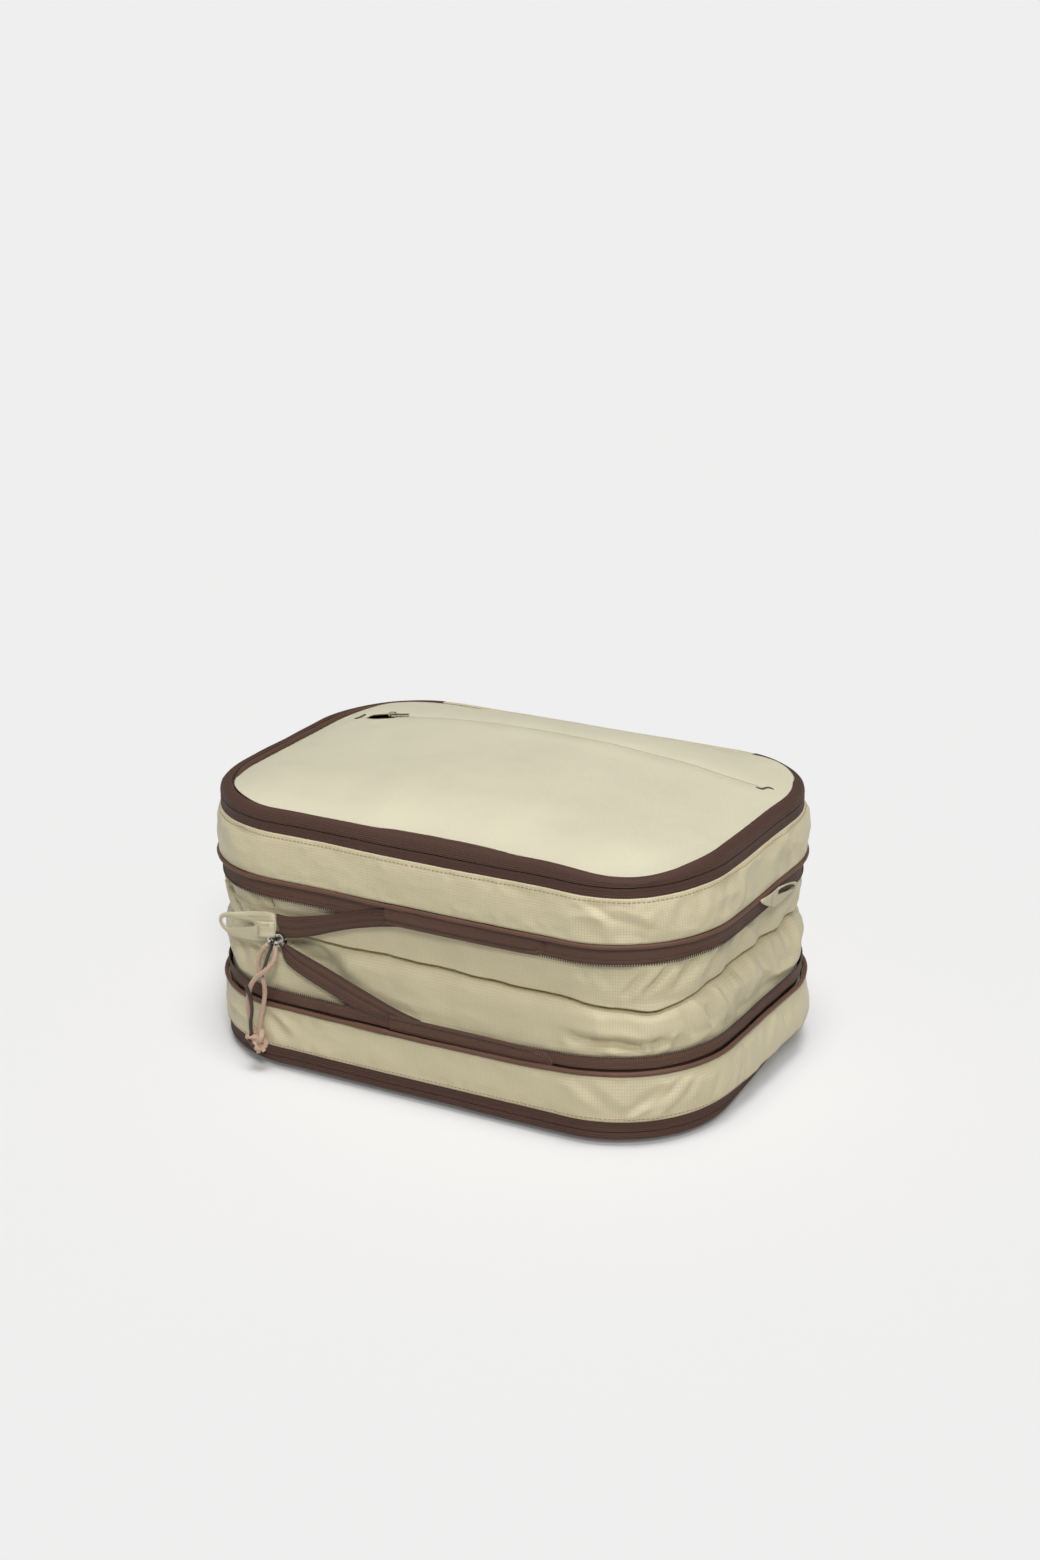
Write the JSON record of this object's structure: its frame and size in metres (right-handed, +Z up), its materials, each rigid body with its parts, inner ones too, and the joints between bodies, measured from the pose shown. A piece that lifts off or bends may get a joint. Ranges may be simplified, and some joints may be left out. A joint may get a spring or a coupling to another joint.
{
  "type": "packing cube",
  "caption": "Soft travel packing cube with a zipped lid above and below, a divider, a lid pocket, and a compression zip round its waist that closes over a folded gusset.",
  "frame": {"origin": "middle of the flat underside, where it rests", "axes": "+Z up through the two lids; +X along the case; -Y is the long face where the compression zip starts"},
  "size_m": [0.3596, 0.2568, 0.193],
  "materials": {
    "shell_cloth": "matte",
    "lid_cloth": "matte",
    "zip_tape": "matte",
    "zip_coil": "satin",
    "piping": "matte",
    "webbing": "matte",
    "lining": "matte",
    "metal": "polished",
    "dark_metal": "satin",
    "cord": "matte",
    "lace": "satin",
    "thread": "matte"
  },
  "bodies": {
    "lower_case": {"lower_wall": "shell_cloth", "lower_piping": "piping", "lower_zip_tape": "zip_tape", "lower_zip_coil": "zip_coil", "lower_zip_tail": "zip_tape", "lower_zip_arm": "zip_tape", "gusset": "shell_cloth", "bottom_zip_tape": "zip_tape", "bottom_zip_coil": "zip_coil", "bottom_spine": "shell_cloth", "divider": "lining"},
    "upper_case": {"upper_wall": "shell_cloth", "upper_piping": "piping", "upper_zip_tape": "zip_tape", "upper_zip_coil": "zip_coil", "upper_zip_tail": "zip_tape", "upper_zip_arm": "zip_tape", "top_zip_tape": "zip_tape", "top_zip_coil": "zip_coil", "top_spine": "shell_cloth", "right_tab": "webbing"},
    "top_lid": {"lid_panel": "lid_cloth", "lid_piping": "piping", "lid_zip_tape": "zip_tape", "lid_zip_coil": "zip_coil", "lid_spine": "shell_cloth", "lid_lining": "lining", "pocket_zip_tapes": "zip_tape", "pocket_bartacks": "thread"},
    "bottom_lid": {"bottom_panel": "lid_cloth", "bottom_piping": "piping", "bottom_lid_zip_tape": "zip_tape", "bottom_lid_zip_coil": "zip_coil", "bottom_lid_spine": "shell_cloth"},
    "zip_end": {"left_tab": "webbing", "zip_end_wrap": "webbing"},
    "compression_slider": {"zip_slider": "metal"},
    "compression_pull": {"pull_blade": "dark_metal", "pull_cord_left": "cord", "pull_cord_right": "cord", "pull_lace": "lace", "pull_knot": "cord"},
    "top_slider": {"top_slider": "metal"},
    "top_pull": {"top_pull": "metal"},
    "bottom_slider": {"bottom_slider": "metal"},
    "bottom_pull": {"bottom_pull": "metal"},
    "pocket_slider": {"pocket_slider": "metal"},
    "pocket_pull": {"pocket_pull": "metal"}
  },
  "joints": [
    {"name": "compress", "type": "slide", "parent": "lower_case", "child": "upper_case", "axis": [0, 0, -1], "range_m": [0, 0.0594], "deforming": ["gusset", "lower_zip_arm", "upper_zip_arm"]},
    {"name": "top_lid_hinge", "type": "hinge", "parent": "upper_case", "child": "top_lid", "pos_m": [0, 0.1193, 0.1696], "axis": [-1, 0, 0], "range_deg": [0, 180]},
    {"name": "bottom_lid_hinge", "type": "hinge", "parent": "lower_case", "child": "bottom_lid", "pos_m": [0, 0.1193, 0.0098], "axis": [1, 0, 0], "range_deg": [0, 180]},
    {"name": "zip_run", "type": "slide", "parent": "lower_case", "child": "compression_slider", "axis": [0.9848, 0, -0.1738], "range_m": [0, 0.19395]},
    {"name": "zip_end_drop", "type": "slide", "parent": "lower_case", "child": "zip_end", "axis": [0, 0, -1], "range_m": [0, 0.0389]},
    {"name": "pull_swing", "type": "hinge", "parent": "compression_slider", "child": "compression_pull", "pos_m": [-0.101, -0.1248, 0.092], "axis": [-1, 0, 0], "range_deg": [0, 150]},
    {"name": "top_slider_run", "type": "slide", "parent": "upper_case", "child": "top_slider", "axis": [0, -1, 0], "range_m": [0, 0.076]},
    {"name": "top_pull_swing", "type": "hinge", "parent": "top_slider", "child": "top_pull", "pos_m": [-0.1773, 0.038, 0.1696], "axis": [0, 0, 1], "range_deg": [0, 150]},
    {"name": "bottom_slider_run", "type": "slide", "parent": "lower_case", "child": "bottom_slider", "axis": [0, -1, 0], "range_m": [0, 0.076]},
    {"name": "bottom_pull_swing", "type": "hinge", "parent": "bottom_slider", "child": "bottom_pull", "pos_m": [-0.1773, 0.038, 0.0098], "axis": [0, 0, 1], "range_deg": [0, 150]},
    {"name": "pocket_slider_run", "type": "hinge", "parent": "top_lid", "child": "pocket_slider", "pos_m": [0, 0.053, -0.598], "axis": [0, 1, 0], "range_deg": [-0.8, 18.8]},
    {"name": "pocket_pull_swing", "type": "hinge", "parent": "pocket_slider", "child": "pocket_pull", "pos_m": [-0.1212, 0.053, 0.18392], "axis": [0, -1, 0], "range_deg": [0, 150]}
  ],
  "couplings": [
    {"joint": "zip_run", "follows": "compress", "ratio": 3.2651},
    {"joint": "zip_end_drop", "follows": "compress", "ratio": 0.6548}
  ]
}
